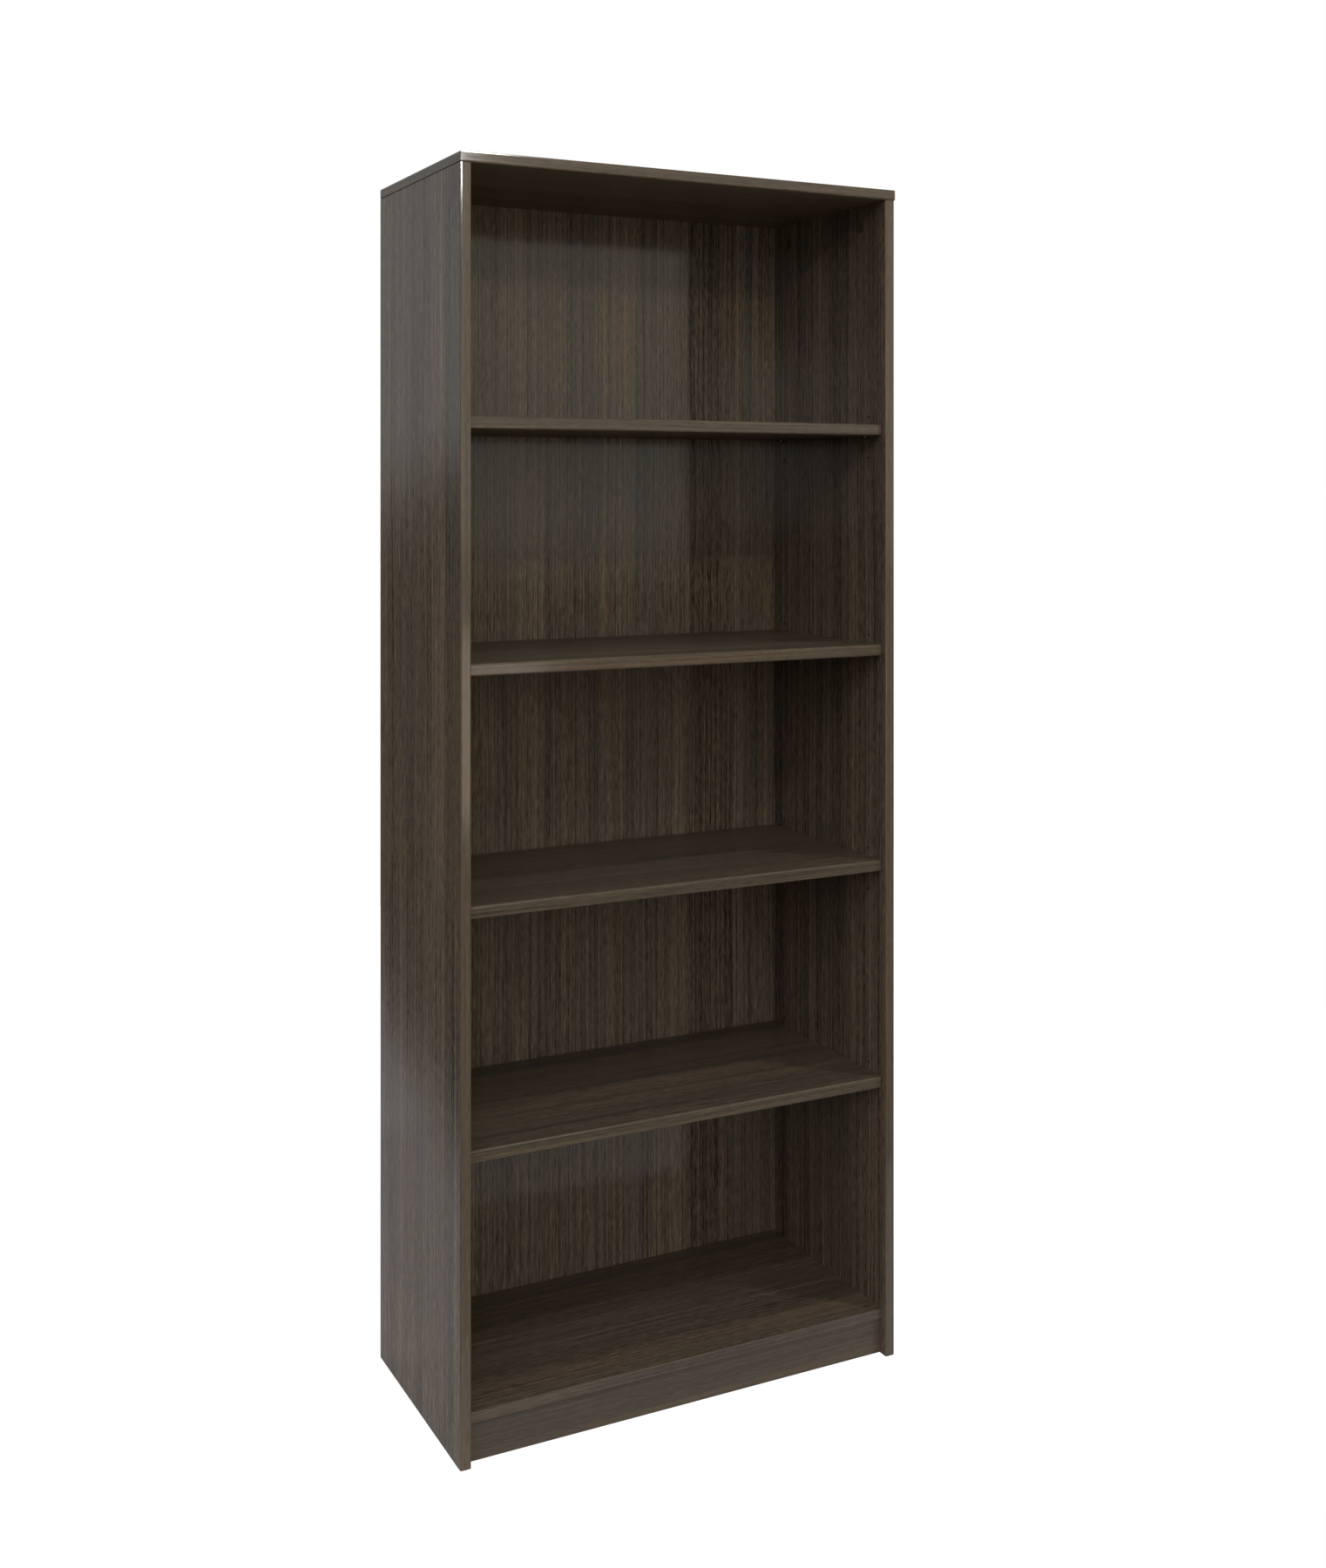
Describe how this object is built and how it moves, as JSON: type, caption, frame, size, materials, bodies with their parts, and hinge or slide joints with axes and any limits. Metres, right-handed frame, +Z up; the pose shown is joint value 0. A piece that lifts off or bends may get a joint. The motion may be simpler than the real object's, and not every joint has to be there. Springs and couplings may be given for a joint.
{
  "type": "bookcase with adjustable shelves",
  "caption": "Tall narrow open bookcase of dark wood-grain laminate board with a full back, a kick plate and shelves that lift off pins and can be set at other heights.",
  "frame": {"origin": "centre of the bookcase's footprint, on the floor under the side panels", "axes": "+Z up along the height; the open front faces -Y; +X to the right as seen from the front"},
  "size_m": [0.712, 0.3544, 1.803],
  "materials": {
    "laminate_board": "satin grey-brown straight-grain laminate on particle board",
    "back_board": "satin grey-brown straight-grain laminate on thin fibreboard",
    "edge_band": "satin wood-grain edge band with rounded edges",
    "bronze_pin": "dark bronze lacquer",
    "zinc_cam": "die-cast zinc, dull",
    "steel_bolt": "zinc plated",
    "beech_dowel": "plain fluted beech",
    "brown_cover": "matt moulded plastic"
  },
  "bodies": {
    "case": {"left_side_panel": "laminate_board", "right_side_panel": "laminate_board", "top_panel": "laminate_board", "bottom_shelf": "laminate_board", "kick_plate": "laminate_board", "back_panel": "back_board", "left_side_band": "edge_band", "right_side_band": "edge_band", "top_front_band": "edge_band", "top_left_band": "edge_band", "top_right_band": "edge_band", "bottom_shelf_band": "edge_band", "top_cam_locks": "zinc_cam", "bottom_cam_locks": "zinc_cam", "kick_cam_locks": "zinc_cam", "top_cam_bolts": "steel_bolt", "bottom_cam_bolts": "steel_bolt", "kick_cam_bolts": "steel_bolt", "top_dowels": "beech_dowel", "bottom_dowels": "beech_dowel", "kick_dowels": "beech_dowel", "cam_covers": "brown_cover", "back_screws": "steel_bolt"},
    "shelf_1": {"shelf_1": "laminate_board", "shelf_1_band": "edge_band"},
    "shelf_2": {"shelf_2": "laminate_board", "shelf_2_band": "edge_band"},
    "shelf_3": {"shelf_3": "laminate_board", "shelf_3_band": "edge_band"},
    "shelf_4": {"shelf_4": "laminate_board", "shelf_4_band": "edge_band"},
    "pin_1_left_front": {"pin_1_left_front": "bronze_pin"},
    "pin_1_left_rear": {"pin_1_left_rear": "bronze_pin"},
    "pin_1_right_front": {"pin_1_right_front": "bronze_pin"},
    "pin_1_right_rear": {"pin_1_right_rear": "bronze_pin"},
    "pin_2_left_front": {"pin_2_left_front": "bronze_pin"},
    "pin_2_left_rear": {"pin_2_left_rear": "bronze_pin"},
    "pin_2_right_front": {"pin_2_right_front": "bronze_pin"},
    "pin_2_right_rear": {"pin_2_right_rear": "bronze_pin"},
    "pin_3_left_front": {"pin_3_left_front": "bronze_pin"},
    "pin_3_left_rear": {"pin_3_left_rear": "bronze_pin"},
    "pin_3_right_front": {"pin_3_right_front": "bronze_pin"},
    "pin_3_right_rear": {"pin_3_right_rear": "bronze_pin"},
    "pin_4_left_front": {"pin_4_left_front": "bronze_pin"},
    "pin_4_left_rear": {"pin_4_left_rear": "bronze_pin"},
    "pin_4_right_front": {"pin_4_right_front": "bronze_pin"},
    "pin_4_right_rear": {"pin_4_right_rear": "bronze_pin"}
  },
  "joints": [
    {"name": "shelf_1_lift", "type": "slide", "parent": "case", "child": "shelf_1", "axis": [0, 0, 1], "range_m": [0, 0.345]},
    {"name": "shelf_2_lift", "type": "slide", "parent": "case", "child": "shelf_2", "axis": [0, 0, 1], "range_m": [0, 0.318]},
    {"name": "shelf_3_lift", "type": "slide", "parent": "case", "child": "shelf_3", "axis": [0, 0, 1], "range_m": [0, 0.31]},
    {"name": "shelf_4_lift", "type": "slide", "parent": "case", "child": "shelf_4", "axis": [0, 0, 1], "range_m": [0, 0.312]},
    {"name": "pin_1_left_front_pull", "type": "slide", "parent": "case", "child": "pin_1_left_front", "axis": [1, 0, 0], "range_m": [0, 0.01]},
    {"name": "pin_1_left_rear_pull", "type": "slide", "parent": "case", "child": "pin_1_left_rear", "axis": [1, 0, 0], "range_m": [0, 0.01]},
    {"name": "pin_1_right_front_pull", "type": "slide", "parent": "case", "child": "pin_1_right_front", "axis": [-1, 0, 0], "range_m": [0, 0.01]},
    {"name": "pin_1_right_rear_pull", "type": "slide", "parent": "case", "child": "pin_1_right_rear", "axis": [-1, 0, 0], "range_m": [0, 0.01]},
    {"name": "pin_2_left_front_pull", "type": "slide", "parent": "case", "child": "pin_2_left_front", "axis": [1, 0, 0], "range_m": [0, 0.01]},
    {"name": "pin_2_left_rear_pull", "type": "slide", "parent": "case", "child": "pin_2_left_rear", "axis": [1, 0, 0], "range_m": [0, 0.01]},
    {"name": "pin_2_right_front_pull", "type": "slide", "parent": "case", "child": "pin_2_right_front", "axis": [-1, 0, 0], "range_m": [0, 0.01]},
    {"name": "pin_2_right_rear_pull", "type": "slide", "parent": "case", "child": "pin_2_right_rear", "axis": [-1, 0, 0], "range_m": [0, 0.01]},
    {"name": "pin_3_left_front_pull", "type": "slide", "parent": "case", "child": "pin_3_left_front", "axis": [1, 0, 0], "range_m": [0, 0.01]},
    {"name": "pin_3_left_rear_pull", "type": "slide", "parent": "case", "child": "pin_3_left_rear", "axis": [1, 0, 0], "range_m": [0, 0.01]},
    {"name": "pin_3_right_front_pull", "type": "slide", "parent": "case", "child": "pin_3_right_front", "axis": [-1, 0, 0], "range_m": [0, 0.01]},
    {"name": "pin_3_right_rear_pull", "type": "slide", "parent": "case", "child": "pin_3_right_rear", "axis": [-1, 0, 0], "range_m": [0, 0.01]},
    {"name": "pin_4_left_front_pull", "type": "slide", "parent": "case", "child": "pin_4_left_front", "axis": [1, 0, 0], "range_m": [0, 0.01]},
    {"name": "pin_4_left_rear_pull", "type": "slide", "parent": "case", "child": "pin_4_left_rear", "axis": [1, 0, 0], "range_m": [0, 0.01]},
    {"name": "pin_4_right_front_pull", "type": "slide", "parent": "case", "child": "pin_4_right_front", "axis": [-1, 0, 0], "range_m": [0, 0.01]},
    {"name": "pin_4_right_rear_pull", "type": "slide", "parent": "case", "child": "pin_4_right_rear", "axis": [-1, 0, 0], "range_m": [0, 0.01]}
  ]
}
